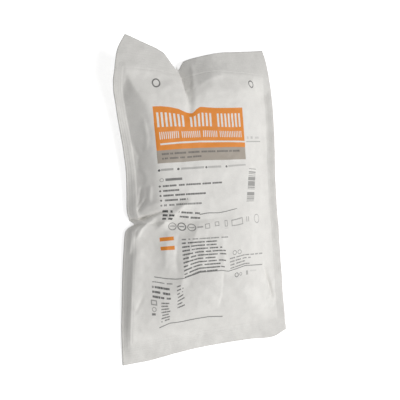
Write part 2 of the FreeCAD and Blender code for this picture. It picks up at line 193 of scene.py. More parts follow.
# Small creases of the front web: height, width on the left of the line, on its right, line
CREASES = [
    # left wall and waist
    (-2.6, 2.5, 2.5, [(-76.5, 12.0), (-78.5, 0.0), (-80.5, -10.0)]),
    (1.8, 4.0, 3.0, [(-69.5, 12.0), (-71.0, 0.0), (-72.0, -8.0)]),
    (-2.8, 3.0, 2.5, [(-72.5, -1.5), (-77.0, -9.0), (-82.0, -17.0)]),
    (-1.0, 3.0, 3.0, [(-84.0, 60.0), (-78.0, 44.0), (-79.0, 26.0)]),
    (0.9, 3.0, 4.0, [(-74.0, 88.0), (-70.0, 66.0), (-72.0, 46.0)]),
    (0.8, 5.0, 4.5, [(-79.0, -15.5), (-70.5, -10.5), (-57.0, -7.0)]),
    (1.0, 6.0, 3.0, [(-76.0, 34.0), (-72.0, 20.0), (-74.0, 8.0)]),
    (-3.0, 1.8, 2.4, [(-96.0, -24.8), (-80.4, -24.2), (-74.3, -23.0), (-68.6, -21.6), (-62.9, -19.2),
                      (-50.0, -16.5)]),
    (2.2, 5.0, 4.0, [(-86.5, -47.0), (-79.5, -35.5), (-73.0, -30.0), (-62.0, -25.5)]),
    (2.4, 7.0, 9.0, [(-66.0, -40.0), (-54.8, -29.8), (-42.5, -19.0), (-35.6, -14.0), (-22.0, -6.0)]),
    # lower left flank
    (-0.9, 2.5, 3.0, [(-98.0, -100.0), (-95.5, -82.0), (-91.5, -57.8), (-89.0, -36.0)]),
    (1.2, 4.0, 17.0, [(-101.0, -154.0), (-97.0, -125.0), (-93.5, -101.0), (-90.0, -76.0), (-84.0, -46.0)]),
    (1.0, 2.5, 3.0, [(-93.5, -66.0), (-91.0, -52.0), (-88.5, -40.0)]),
    (-0.6, 3.0, 4.0, [(-93.0, -128.0), (-86.0, -116.0), (-82.0, -108.0)]),
    # belly
    (-0.6, 4.0, 5.0, [(-44.0, -95.0), (-45.0, -74.0), (-42.5, -55.3), (-38.0, -38.0)]),
    (1.8, 14.0, 11.0, [(-48.0, -114.0), (-36.5, -86.0), (-25.0, -52.0), (-14.0, -28.0)]),
    (-0.8, 5.0, 9.0, [(-12.5, -92.0), (-10.2, -64.6), (-7.0, -42.0)]),
    (0.9, 9.0, 8.0, [(9.0, -90.0), (8.5, -64.0), (11.0, -44.0)]),
    (0.8, 12.0, 4.0, [(-58.0, -84.0), (-56.0, -66.0), (-54.0, -52.0)]),
    # dome in the lower right
    (-1.0, 2.2, 14.0, [(2.0, -134.0), (4.6, -117.1), (6.1, -105.7), (8.5, -88.0)]),
    (-2.6, 3.0, 4.0, [(87.0, -136.0), (82.6, -116.7), (77.5, -103.6), (69.0, -88.0)]),
    (1.2, 4.0, 6.0, [(72.0, -130.0), (80.0, -137.0), (89.0, -141.0)]),
    (-0.8, 6.0, 8.0, [(-60.0, -146.0), (-30.0, -156.0), (8.0, -152.0)]),
    (0.7, 8.0, 6.0, [(20.0, -150.0), (48.0, -146.0), (74.0, -152.0)]),
    # above the label
    (-0.9, 5.0, 6.0, [(-14.0, 112.0), (-17.0, 100.0), (-20.0, 86.0)]),
    (1.2, 12.0, 8.0, [(-13.0, 110.0), (-7.0, 121.0), (5.0, 129.0), (21.0, 137.0), (38.0, 142.0)]),
    (1.0, 2.5, 7.0, [(-12.5, 114.0), (-10.0, 126.0), (-6.5, 142.0), (-4.0, 158.0)]),
    (-0.8, 3.0, 2.0, [(-21.0, 108.0), (-19.0, 124.0), (-18.0, 140.0)]),
    (0.6, 8.0, 8.0, [(-60.0, 112.0), (-45.0, 120.0), (-30.0, 122.0)]),
]

# Creases that fold both webs at the pinched edge, how far in from the edge they reach,
# and for all creases how sharp they are and how they fade out at their ends
EDGE_CREASES = [
    (-6.0, 1.8, 5.4, [(-112.0, -25.4), (-92.0, -24.8), (-80.4, -24.2), (-74.3, -23.0), (-62.9, -19.2)]),
    (1.5, 2.4, 2.4, [(-94.0, -64.0), (-91.0, -49.0), (-89.0, -35.0)]),
]
EDGE_CREASE_REACH = 24.0
CREASE_POWER = 1.6
CREASE_FADE = 0.2

# The seal's pressed line, and the crinkles of the sheet: heights and sizes. The back's
# crinkles are its own inside the seals, and fade out near the ground
SEAL_GROOVE = 0.22
SEAL_GROOVE_WIDTH = 1.4
CRINKLES = [(0.8, 24.0), (0.42, 9.0), (0.18, 4.5)]
LOOSE_FROM = -2.0
LOOSE_TO = 6.0
RESTING_HEIGHT = 3.0
FRONT_SHEET = 0.0
BACK_SHEET = 9.0

# How far the print is drawn up or down where the sheet is folded, along a few
# heights of the pouch
PRINT_DRAWN = [
    (-143.0, [(-66.0, -4.0), (-54.0, 0.1), (-40.0, -0.2), (-23.0, 1.0), (-8.5, 1.1), (10.0, -1.7)]),
    (-112.0, [(-74.0, 0.0), (-56.0, -5.0), (-47.0, -5.6), (-39.0, -0.8), (-20.0, 0.0)]),
    (-89.0, [(-70.0, 0.0), (-58.0, -2.8), (-39.0, -5.8), (-20.0, 0.2), (6.0, -0.3), (14.3, -2.4),
             (37.0, 2.1), (68.0, -0.4)]),
    (-52.0, [(-60.0, 0.0), (-36.0, 0.5), (-20.0, 0.0), (17.0, -1.0), (60.0, 0.0)]),
    (-36.0, [(-46.0, 1.7), (-36.0, 0.1), (-25.0, -2.5), (-16.0, -2.4), (-7.0, -1.9), (4.0, 0.1),
             (15.5, -0.7), (30.0, 0.1), (46.0, 2.7), (64.0, 3.1)]),
    (-23.0, [(-16.0, -0.8), (-10.5, -0.2), (-6.0, 0.2), (6.5, -0.5), (17.0, 0.6), (32.0, 3.8)]),
    (-11.0, [(-60.0, -0.2), (15.0, 0.0), (50.0, 1.5)]),
    (10.0, [(-60.0, -0.5), (15.0, 1.2), (50.0, 2.0)]),
    (28.0, [(-60.0, -2.0), (-38.0, -1.3), (-4.0, -0.1), (22.0, 0.5), (50.0, 3.0)]),
    (36.0, [(-61.0, -1.9), (-36.0, -1.3), (-7.5, 0.4), (21.0, 0.7), (51.0, 1.6)]),
    (51.0, [(-61.0, -2.7), (-34.0, -0.9), (-10.0, 0.2), (16.0, 0.8), (50.0, 1.7), (82.0, 4.8)]),
    (58.0, [(-57.0, -2.9), (-34.0, -0.9), (-10.0, 0.4), (16.0, 0.8), (50.0, 1.0), (82.0, 4.6)]),
    (75.0, [(-57.0, -1.6), (-38.0, -0.7), (-20.0, -1.0), (-1.5, 0.5), (20.0, -0.2), (42.0, 0.5),
            (82.0, 4.9)]),
    (93.0, [(-63.0, -1.6), (-54.0, -1.0), (-43.0, -1.6), (-33.0, -3.3), (-23.5, -7.2), (-16.0, -8.6),
            (-11.0, -3.0), (-6.0, 0.0), (14.5, -0.5), (31.0, 0.3), (50.0, 1.7)]),
]

# The label leans a little to the left: per millimetre up from its middle, in full from
# LEAN_PLACE to the left, and fading out below its foot
LABEL_LEAN = 0.045
LEAN_PLACE = -55.0
LEAN_FADE = 12.0
LABEL_MIDDLE = 66.0
LABEL_FOOT = 36.0
LABEL_HEAD = 98.0

# Print, in millimetres on the sheet. Fields: left, right, low, high
ORANGE_FIELD = (-62.2, 51.0, 50.5, 98.0)
GREY_FIELD = (-62.2, 51.0, 36.0, 50.5)
LABEL_RULE = (-57.5, 51.0, 56.5, 58.5)
# Rows of light bars on the orange: pitch, share of it that is light, low, high, groups
LIGHT_BARS = [
    (4.9, 0.5, 75.4, 91.3, [(-58.8, -26.9), (-19.6, 7.4), (14.7, 46.5)]),
    (2.4, 0.45, 62.8, 70.4, [(-57.6, -34.6), (-31.2, -8.2), (-4.8, 13.4), (16.8, 47.0)]),
]
ORANGE_BARS = [(-60.5, -45.5, -51.2, -47.4), (-60.5, -45.5, -60.4, -56.6)]
# Grey bars: strength, left, right, low, high
GREY_BARS = [
    (0.8, -53.5, -34.5, 15.2, 18.2),
    (0.5, -58.0, -44.0, 27.4, 30.0), (0.42, -35.0, -7.0, 27.4, 29.8),
    (0.38, -2.0, 15.0, 27.5, 29.8), (0.34, 24.5, 50.0, 27.5, 29.7),
    (0.5, 53.4, 82.0, 56.8, 57.8),
    (0.2, 55.0, 58.0, 60.6, 63.6), (0.28, 62.0, 66.5, 60.6, 63.6), (0.2, 71.0, 79.0, 60.6, 63.2),
    (0.75, -16.0, 32.0, -24.0, -23.0),
    (0.6, -19.5, -12.8, -37.4, -35.6),
    (0.3, 13.3, 18.0, -41.6, -40.9),
    (0.6, -49.0, -43.0, -37.1, -35.9), (0.75, -38.6, -33.0, -37.2, -35.8),
    (0.6, -28.2, -22.6, -37.1, -35.9),
    (0.55, 44.6, 45.7, -39.0, -33.5), (0.55, 47.6, 48.7, -39.0, -33.5),
    (0.7, -37.0, -32.5, -52.3, -50.6),
    (0.75, -69.5, 68.0, -89.5, -88.5),
    (0.5, 37.8, 40.6, -99.0, -94.6), (0.15, 44.0, 55.0, -96.0, -94.2),
    (0.8, -74.3, -70.3, -128.4, -126.2),
    (0.75, -66.0, 10.0, -142.6, -141.4),
]
# Grey dots: strength, across, up, radius
GREY_DOTS = [
    (0.95, -59.8, 28.3, 1.4), (0.95, -38.2, 28.5, 1.4), (0.9, -4.1, 28.5, 1.3), (0.9, 22.2, 28.5, 1.3),
    (0.9, -60.0, 9.4, 1.1), (0.9, -60.0, 4.1, 1.1), (0.9, -60.0, -1.2, 1.1), (0.9, -60.0, -6.5, 1.1),
    (0.7, -60.0, -11.8, 1.0),
]
# Grey rings: strength, across, up, radius, line
GREY_RINGS = [
    (0.85, -56.0, 124.0, 4.3, 1.5), (0.8, 71.6, 130.5, 4.0, 1.5),
    (0.5, -57.6, 16.6, 1.9, 0.8),
    (0.6, -46.0, -36.5, 4.1, 1.1), (0.8, -35.8, -36.5, 4.2, 1.3), (0.65, -25.4, -36.5, 4.1, 1.1),
    (0.45, 63.6, -36.5, 4.6, 1.0), (0.7, 24.6, -96.2, 2.2, 1.0), (0.5, 30.0, -96.4, 1.5, 0.8),
    (0.55, 24.0, -70.2, 2.3, 0.9), (0.55, 30.5, -70.6, 2.3, 0.9), (0.5, -71.6, -122.5, 2.0, 0.9),
]
# Grey frames: strength, left, right, low, high, line
GREY_FRAMES = [
    (0.5, -10.6, -4.6, -39.6, -33.4, 1.0), (0.5, 1.4, 7.0, -38.8, -33.6, 1.0),
    (0.5, 13.8, 17.6, -39.6, -32.4, 1.0), (0.55, 22.4, 38.6, -40.0, -33.2, 1.0),
    (0.6, -74.6, -68.4, -118.4, -113.2, 1.1),
]
# Lines of small print as bars: strength, left, right, top, pitch, rows, thickness, raggedness, slope
SMALL_PRINT = [
    (0.53, -57.0, 42.0, 47.2, 5.2, 1, 2.2, 0.0, 0.0),
    (0.53, -57.0, -8.0, 42.0, 5.2, 1, 2.0, 0.0, 0.0),
    (0.7, -57.0, 14.5, 10.4, 5.3, 1, 2.0, 0.0, 0.0),
    (0.7, -57.0, -39.0, 5.1, 5.3, 1, 2.0, 0.0, 0.0),
    (0.74, -57.0, -7.0, -0.2, 5.3, 1, 2.0, 0.0, 0.0),
    (0.7, -57.0, -30.0, -5.5, 5.3, 1, 2.0, 0.0, 0.0),
    (0.56, -57.0, -13.0, -10.8, 5.3, 1, 2.0, 0.0, 0.0),
    (0.9, -57.6, -44.5, -16.4, 4.2, 3, 2.4, 0.3, -0.12),
    (0.7, -41.5, -14.5, -18.8, 4.6, 2, 1.9, 0.1, -0.1),
    (0.74, -37.5, 17.0, -54.4, 3.66, 10, 1.5, 0.35, 0.0),
    (0.53, -30.0, 17.0, -50.6, 3.66, 1, 1.4, 0.0, 0.0),
    (0.53, 17.0, 70.0, -75.0, 3.6, 1, 1.4, 0.0, 0.0),
    (0.53, 17.0, 49.0, -78.6, 3.6, 3, 1.4, 0.45, 0.0),
    (0.6, -72.0, -51.0, -93.6, 5.0, 1, 1.1, 0.0, 0.0),
    (0.74, -72.5, -52.0, -98.4, 5.1, 3, 2.3, 0.15, 0.0),
    (0.64, -64.0, -53.5, -114.8, 3.4, 7, 1.7, 0.4, 0.0),
    (0.74, -46.5, -38.5, -96.5, 4.2, 7, 1.5, 0.25, 0.0),
]
# Bar code of plain stripes: strength, left, right, low, high, lean, stripe pitch
STRIPE_CODE = (0.62, 50.2, 63.8, -15.2, 24.0, 0.219, 0.8)

# Colours of the paper and the inks, as light. Tone of the seals, the painted shade on the header, and
# where that painted shade begins, is full, slants and fades. Range of the mottling
PAPER = (0.89, 0.874, 0.838, 1.0)
PAPER_DIM = (0.815, 0.80, 0.768, 1.0)
ORANGE_INK = (0.82, 0.27, 0.03, 1.0)
GREY_INK = (0.41, 0.36, 0.305, 1.0)
DARK_INK = (0.07, 0.07, 0.07, 1.0)
SEAL_TONE = 0.94
SEAL_TONE_REACH = 3.0
PAINTED_HEADER_SHADE = 0.885
PAINTED_SHADE_FOOT = 96.0
PAINTED_SHADE_HEAD = 134.0
PAINTED_SHADE_SLANT = -0.22
PAINTED_SHADE_FADE = 0.75
PAINTED_SHADE_RIGHT = (-30.0, 50.0)
TONE_LOW = 0.38
TONE_HIGH = 0.62

# Grain of the paper: scales of its noises and depth in metres. The pressed ribs and line
# of its seals, in millimetres and as shares of that depth. How matt the paper is
FIBRE_STRETCH = (1.0, 2.5, 1.0)
FIBRE_SCALE = 700.0
FIBRE_DETAIL = 3.0
SPECK_SCALE = 2200.0
SPECK_DETAIL = 2.0
SPECK_SHARE = 0.5
MOTTLE_SCALE = 70.0
MOTTLE_DETAIL = 3.0
MOTTLE_SHARE = 0.5
GRAIN_STRENGTH = 0.5
GRAIN_DEPTH = 0.0002
RIB_PITCH = 2.6
RIB_DEPTH = 0.4
LINE_WIDTH = 1.0
LINE_DEPTH = 1.4
PAPER_ROUGHNESS = 0.55
ROUGHNESS_SPREAD = 0.16
INK_SMOOTHING = -0.1

# Small print: how long its words are, how often they break, how far each row is shifted
# against the one above, and how uneven it looks. Bar code: how much of it is bare
WORD_SCALE = 0.24
WORD_GAP = 0.33
WORD_SHIFT = 17.3
LETTER_SCALE = 1.1
LETTER_CONTRAST = 1.4
LETTER_BASE = 0.45
STRIPE_CODE_BARE = 0.32

# Sockets of the colour mix node: share, the two colours, and the colour that comes out
MIX_SHARE = 0
MIX_FIRST = 6
MIX_SECOND = 7
MIX_RESULT = 2

# Corners of the mesh, counted in cells across and along each web
CELLS_ACROSS = 160
CELLS_ALONG = 270
# How far apart the two webs are while they are only corners to be placed
SHEETS_APART = 0.1


def curve(knots, at):
    """A smooth curve through its knots, level beyond the first and the last."""
    xs, ys = np.array(knots, float).T
    slopes = np.empty_like(ys)
    slopes[1:-1] = (ys[2:] - ys[:-2]) / (xs[2:] - xs[:-2])
    slopes[0] = (ys[1] - ys[0]) / (xs[1] - xs[0])
    slopes[-1] = (ys[-1] - ys[-2]) / (xs[-1] - xs[-2])
    at = np.clip(at, xs[0], xs[-1])
    first = np.clip(np.searchsorted(xs, at, side="right") - 1, 0, len(xs) - 2)
    span = xs[first + 1] - xs[first]
    t = (at - xs[first]) / span
    from_ends = ys[first] * (1 + 2 * t) * (1 - t) ** 2 + ys[first + 1] * t * t * (3 - 2 * t)
    from_slopes = slopes[first] * t * (1 - t) ** 2 - slopes[first + 1] * t * t * (1 - t)
    return from_ends + span * from_slopes


def straight(knots, at):
    """Straight runs between knots, level beyond the first and the last."""
    xs, ys = np.array(knots, float).T
    return np.interp(at, xs, ys)


def ramp(start, end, at):
    t = np.clip((at - start) / (end - start), 0.0, 1.0)
    return t * t * (3 - 2 * t)


def lower_of(a, b, softness):
    return (a + b - np.hypot(a - b, softness)) / 2


def higher_of(a, b, softness):
    return (a + b + np.hypot(a - b, softness)) / 2


def station_knots(column):
    return [(FOOT_Y + line[0], line[column]) for line in STATIONS]


def header_knots(column):
    return [(line[0], line[column]) for line in HEADER]


LEFT_IN, LEFT_LIFT, LEFT_ROLL, LEFT_RISE = [station_knots(n) for n in range(1, 5)]
RIGHT_IN, RIGHT_LIFT, RIGHT_ROLL = [station_knots(n) for n in range(5, 8)]
EDGE_DOWN, EDGE_LIFT, LINE_DOWN, LINE_LIFT = [header_knots(n) for n in range(1, 5)]


def left_edge(y):
    """The left edge in plan, with the notch where the waist is pinched."""
    reach = np.where(y > NOTCH_Y, PINCH_ABOVE, PINCH_BELOW)
    notch = PINCH_IN * np.exp(-(np.abs(y - NOTCH_Y) / reach) ** PINCH_POWER)
    return -WIDTH / 2 + curve(LEFT_IN, y) + notch


def right_edge(y):
    return WIDTH / 2 - curve(RIGHT_IN, y)


def sheet_to_plan(u, v):
    """Where a point of the flat sheet comes to lie in plan."""
    share = u / WIDTH + 0.5
    x = left_edge(v) * (1 - share) + right_edge(v) * share
    down = ramp(HEAD_Y - HEADER_REACH, HEAD_Y, v) * straight(EDGE_DOWN, x)
    up = ramp(FOOT_LINE, FOOT_Y, v) * curve(FOOT_UP, x)
    return x, v - down + up


def left_seal_height(y, inwards):
    return curve(LEFT_LIFT, y) + curve(LEFT_ROLL, y) * ramp(0.0, SIDE_SEAL, inwards)


def right_seal_height(y, inwards):
    return curve(RIGHT_LIFT, y) + curve(RIGHT_ROLL, y) * ramp(0.0, SIDE_SEAL, inwards)


def seal_height(x, y):
    """Height of the sealed sheet, as if there were nothing in the pouch."""
    from_left = x - left_edge(y)
    from_right = right_edge(y) - x
    share = np.clip(from_left / (from_left + from_right), 0.0, 1.0)
    side = left_seal_height(y, from_left) * (1 - share) + right_seal_height(y, from_right) * share
    line_y = HEAD_Y - curve(LINE_DOWN, x)
    edge_y = HEAD_Y - straight(EDGE_DOWN, x)
    run = (y - line_y) / np.maximum(edge_y - line_y, SIDE_SEAL / 2)
    head = curve(LINE_LIFT, x) * (1 - run) + straight(EDGE_LIFT, x) * run
    blend = ramp(line_y - HEADER_BLEND, line_y, y)
    return side * (1 - blend) + head * blend


def press_vee(height, x, y):
    """Press the V fold into a height: two walls that meet along a falling channel."""
    run = (y - VEE_FOOT[1]) / (VEE_MOUTH[1] - VEE_FOOT[1])
    middle = VEE_FOOT[0] + (VEE_MOUTH[0] - VEE_FOOT[0]) * run
    channel = VEE_FOOT[2] + (VEE_MOUTH[2] - VEE_FOOT[2]) * run
    left_wall = channel + VEE_LEFT_RISE * (middle - x)
    right_wall = channel + VEE_RIGHT_RISE * (x - middle)
    facet = channel + VEE_RIGHT_RISE * VEE_FACET + VEE_FACET_RISE * (x - middle - VEE_FACET)
    right_wall = lower_of(right_wall, facet, VEE_CREASE)
    left_side = lower_of(height, left_wall, VEE_ROLL)
    return np.maximum(left_side, lower_of(height, right_wall, VEE_CREASE))


def along_line(points, x, y):
    """Distance from a bent line, the side it lies on, and the share of the way along it."""
    runs = [math.dist(a, b) for a, b in zip(points, points[1:])]
    nearest = np.full(np.shape(x), np.inf)
    share = np.zeros(np.shape(x))
    side = np.zeros(np.shape(x))
    before = 0.0
    for (ax, ay), (bx, by), run in zip(points, points[1:], runs):
        t = np.clip(((x - ax) * (bx - ax) + (y - ay) * (by - ay)) / run ** 2, 0.0, 1.0)
        gap = np.hypot(x - ax - (bx - ax) * t, y - ay - (by - ay) * t)
        closer = gap < nearest
        nearest = np.where(closer, gap, nearest)
        share = np.where(closer, (before + t * run) / sum(runs), share)
        side = np.where(closer, np.sign((bx - ax) * (y - ay) - (by - ay) * (x - ax)), side)
        before += run
    return nearest, side, share


def fold_height(height, half_width, points, x, y):
    """A rounded ridge or valley along a bent line, fading out at both ends."""
    gap, side, share = along_line(points, x, y)
    ends = ramp(0.0, FOLD_FADE, share) * ramp(1.0, 1.0 - FOLD_FADE, share)
    return height * ends * np.exp(-(gap / half_width) ** 2)


def from_edges(x, y):
    """Distances inwards from the seals: left, right, header and foot."""
    from_left = x - left_edge(y) - SIDE_SEAL
    from_right = right_edge(y) - SIDE_SEAL - x
    return from_left, from_right, HEAD_Y - curve(LINE_DOWN, x) - y, y - FOOT_LINE


def front_height(x, y):
    """The front web: walls up from the seals to the top of each bulge."""
    from_left, from_right, from_head, from_foot = from_edges(x, y)
    blend = ramp(PINCH_Y - WAIST_BLEND / 2, PINCH_Y + WAIST_BLEND / 2, y)
    left_wall = left_seal_height(y, SIDE_SEAL) + curve(LEFT_RISE, y) * from_left
    right_wall = right_seal_height(y, SIDE_SEAL) + RIGHT_WALL_RISE * from_right
    head_wall = curve(LINE_LIFT, x) + HEAD_WALL_RISE * from_head
    foot_wall = left_seal_height(FOOT_LINE, SIDE_SEAL) + FOOT_WALL_RISE * from_foot
    fall = straight(SHOULDER_FALL, y) * np.maximum(0.0, SHOULDER_PLACE - x)
    upper_top = UPPER_HEIGHT - FRONT_TILT * x - fall
    wall_height = np.maximum(upper_top - left_seal_height(y, SIDE_SEAL), SEAL_THICKNESS)
    upper = lower_of(upper_top, left_wall, straight(SHOULDER_ROUND, y) * wall_height)
    upper = lower_of(lower_of(upper, right_wall, WALL_ROUND), head_wall, SEAL_ROUND)
    lower = lower_of(LOWER_HEIGHT, FLANK_HEIGHT + FLANK_RISE * from_left, FLANK_ROUND)
    lower = lower_of(lower, left_wall, FLANK_ROUND)
    lower = lower_of(lower_of(lower, right_wall, WALL_ROUND), foot_wall, FOOT_ROUND)
    body = lower * (1 - blend) + upper * blend
    for height, half_width, points in LARGE_FOLDS:
        body = body + fold_height(height, half_width, points, x, y)
    seal = press_vee(seal_height(x, y), x, y)
    return higher_of(seal + SEAL_THICKNESS / 2, press_vee(body, x, y), SEAL_ROUND)


def back_height(x, y):
    """The back web: down from the seals to the ground it rests on."""
    from_left, from_right, from_head, from_foot = from_edges(x, y)
    left_wall = left_seal_height(y, SIDE_SEAL) - BACK_WALL_RISE * from_left
    right_wall = right_seal_height(y, SIDE_SEAL) - BACK_WALL_RISE * from_right
    head_wall = curve(LINE_LIFT, x) - BACK_HEAD_RISE * from_head
    foot_wall = left_seal_height(FOOT_LINE, SIDE_SEAL) - BACK_FOOT_RISE * from_foot
    back = higher_of(-REST_DEPTH, higher_of(left_wall, right_wall, SEAL_ROUND), SEAL_ROUND)
    back = higher_of(back, higher_of(head_wall, foot_wall, SEAL_ROUND), SEAL_ROUND)
    seal = press_vee(seal_height(x, y), x, y)
    return np.maximum(0.0, lower_of(seal - SEAL_THICKNESS / 2, back, SEAL_ROUND))


def crease_height(height, left_width, right_width, points, x, y):
    """A sharp ridge or valley along a bent line, each side as wide as it is told."""
    gap, side, share = along_line(points, x, y)
    width = np.where(side > 0, left_width, right_width)
    ends = ramp(0.0, CREASE_FADE, share) * ramp(1.0, 1.0 - CREASE_FADE, share)
    return height * ends * np.clip(1 - gap / width, 0.0, 1.0) ** CREASE_POWER


def inside_seals(x, y):
    """How far a point lies inside the nearest seal line, below zero on the seal."""
    from_left, from_right, from_head, from_foot = from_edges(x, y)
    return np.minimum(np.minimum(from_left, from_right), np.minimum(from_head, from_foot))


def crinkle(x, y, sheet):
    """Small uneven crinkles all over a sheet."""
    total = np.zeros(len(x))
    for height, size in CRINKLES:
        total += height * np.array([noise.noise((a / size, b / size, sheet)) for a, b in zip(x, y)])
    return total


def add_creases(creases, x, y):
    total = np.zeros(len(x))
    for height, left_width, right_width, points in creases:
        total += crease_height(height, left_width, right_width, points, x, y)
    return total


def two_heights(x, y):
    """Heights of the front and of the back web, with all that is fine in them."""
    inside = inside_seals(x, y)
    loose = ramp(LOOSE_FROM, LOOSE_TO, inside)
    front = front_height(x, y) + crinkle(x, y, FRONT_SHEET) + add_creases(CREASES, x, y)
    front -= SEAL_GROOVE * np.exp(-(inside / SEAL_GROOVE_WIDTH) ** 2)
    back = back_height(x, y)
    lifted = ramp(0.0, RESTING_HEIGHT, back)
    back += lifted * (crinkle(x, y, FRONT_SHEET) * (1 - loose) + crinkle(x, y, BACK_SHEET) * loose)
    near_edge = ramp(EDGE_CREASE_REACH, EDGE_CREASE_REACH / 2, x - left_edge(y))
    edge = add_creases(EDGE_CREASES, x, y) * near_edge
    back = np.maximum(0.0, back + edge)
    return np.maximum(front + edge, back + SEAL_THICKNESS), back, inside


def print_place(x, y):
    """Where a point of the pouch lies on the printed sheet before it is folded."""
    heights = np.array([row[0] for row in PRINT_DRAWN])
    drawn = np.array([straight(row[1], x) for row in PRINT_DRAWN])
    above = np.clip(np.searchsorted(heights, y), 1, len(heights) - 1)
    share = np.clip((y - heights[above - 1]) / (heights[above] - heights[above - 1]), 0.0, 1.0)
    point = np.arange(len(x))
    down = drawn[above - 1, point] * (1 - share) + drawn[above, point] * share
    lean = LABEL_LEAN * (np.clip(y, LABEL_FOOT, LABEL_HEAD) - LABEL_MIDDLE)
    lean = lean * ramp(0.0, LEAN_PLACE, x) * ramp(LABEL_FOOT - LEAN_FADE, LABEL_FOOT, y)
    return x + lean, y - down


def painted_header_shade(x, y):
    """How much painted shade a point of the header gets: most at the left of the header."""
    share = ramp(PAINTED_SHADE_FOOT, PAINTED_SHADE_HEAD, y + PAINTED_SHADE_SLANT * x)
    return share * (1 - PAINTED_SHADE_FADE * ramp(*PAINTED_SHADE_RIGHT, x))


def deselect_all():
    if bpy.context.object and bpy.context.object.mode != "OBJECT":
        bpy.ops.object.mode_set(mode="OBJECT")
    bpy.ops.object.select_all(action="DESELECT")


def add_two_sheets():
    """A grid for the front web with a copy under it for the back, joined round the edge."""
    deselect_all()
    bpy.ops.mesh.primitive_grid_add(x_subdivisions=CELLS_ACROSS, y_subdivisions=CELLS_ALONG, size=1)
    pouch = bpy.context.object
    pouch.name = PIECE
    pouch.data.name = PIECE
    second = pouch.modifiers.new("second_sheet", "SOLIDIFY")
    second.thickness = SHEETS_APART
    second.offset = -1
    bpy.ops.object.modifier_apply(modifier=second.name)
    return pouch


def closer_at_waist(v):
    """Rows of corners drawn towards the waist, where the sheets are folded most sharply."""
    from_waist = v - PINCH_Y
    return v - WAIST_DENSE * from_waist * np.exp(-(from_waist / WAIST_DENSE_REACH) ** 2)


def keep_at_corners(mesh, name, kind, field, values):
    layer = mesh.attributes.new(name, kind, "POINT")
    layer.data.foreach_set(field, values)


def shape_pouch(pouch):
    """Every corner of the two sheets goes where the form has it."""
    mesh = pouch.data
    corners = np.empty(len(mesh.vertices) * 3)
    mesh.vertices.foreach_get("co", corners)
    corners = corners.reshape(-1, 3)
    front = corners[:, 2] > -SHEETS_APART / 2
    x, y = sheet_to_plan(corners[:, 0] * WIDTH, closer_at_waist(corners[:, 1] * LENGTH))
    top, under, inside = two_heights(x, y)
    z = np.where(front, top, under)
    low, high = [np.array(corner) / MM for corner in CAD_BOX]
    middle = (low + high) / 2
    x += middle[0] - (x.min() + x.max()) / 2
    y += middle[1] - (y.min() + y.max()) / 2
    mesh.vertices.foreach_set("co", (np.column_stack([x, y, z]) * MM).ravel())
    printed = np.column_stack([*print_place(x, y), front]).ravel()
    keep_at_corners(mesh, "print_place", "FLOAT_VECTOR", "vector", printed)
    keep_at_corners(mesh, "inside_seals", "FLOAT", "value", inside)
    # The share of painted shade on the header, kept at each corner
    keep_at_corners(mesh, "painted_header_shade", "FLOAT", "value", painted_header_shade(x, y))
    mesh.update()


def smooth(pouch):
    """Both sheets smooth, and the thin rim between them, which comes last, flat."""
    mesh = pouch.data
    flags = np.ones(len(mesh.polygons), bool)
    flags[2 * CELLS_ACROSS * CELLS_ALONG:] = False
    mesh.polygons.foreach_set("use_smooth", flags)


def add_camera():
    data = bpy.data.cameras.new("camera")
    camera = bpy.data.objects.new("camera", data)
    bpy.context.scene.collection.objects.link(camera)
    data.lens = CAMERA_LENS
    data.sensor_width = CAMERA_SENSOR
    backwards = CAMERA_RIGHT.cross(CAMERA_UP).normalized()
    up = backwards.cross(CAMERA_RIGHT).normalized()
    right = up.cross(backwards)
    turn = Matrix((right, up, backwards)).transposed()
    camera.matrix_world = Matrix.Translation(CAMERA_PLACE) @ turn.to_4x4()
    bpy.context.scene.camera = camera


def add_node(tree, kind, **inputs):
    node = tree.nodes.new(kind)
    for name, value in inputs.items():
        node.inputs[name.replace("_", " ")].default_value = value
    return node


def math_out(tree, operation, *values):
    node = tree.nodes.new("ShaderNodeMath")
    node.operation = operation
    for socket, value in zip(node.inputs, values):
        if isinstance(value, (int, float)):
            socket.default_value = value
        else:
            tree.links.new(value, socket)
    return node.outputs[0]


def seen_ray_out(tree):
    """1 for what the camera sees, also in a reflection or through glass, and 0 for light."""
    ray = tree.nodes.new("ShaderNodeLightPath")
    direct = math_out(tree, "MAXIMUM", ray.outputs["Is Camera Ray"], ray.outputs["Is Glossy Ray"])
    return math_out(tree, "MAXIMUM", direct, ray.outputs["Is Transmission Ray"])


def floor_material():
    material = bpy.data.materials.new("pale_floor")
    material.use_nodes = True
    tree = material.node_tree
    tree.nodes.clear()
    out = tree.nodes.new("ShaderNodeOutputMaterial")
    paint = add_node(tree, "ShaderNodeBsdfPrincipled", Base_Color=FLOOR_PAINT, Roughness=FLOOR_ROUGHNESS)
    glow = add_node(tree, "ShaderNodeEmission", Color=WHITE)
    both = tree.nodes.new("ShaderNodeAddShader")
    seen_glow = math_out(tree, "MULTIPLY", seen_ray_out(tree), FLOOR_GLOW)
    tree.links.new(seen_glow, glow.inputs["Strength"])
    tree.links.new(paint.outputs[0], both.inputs[0])
    tree.links.new(glow.outputs[0], both.inputs[1])
    tree.links.new(both.outputs[0], out.inputs["Surface"])
    return material


def add_floor():
    deselect_all()
    bpy.ops.mesh.primitive_plane_add(size=FLOOR_SIZE)
    floor = bpy.context.object
    floor.name = "floor"
    floor.data.materials.append(floor_material())


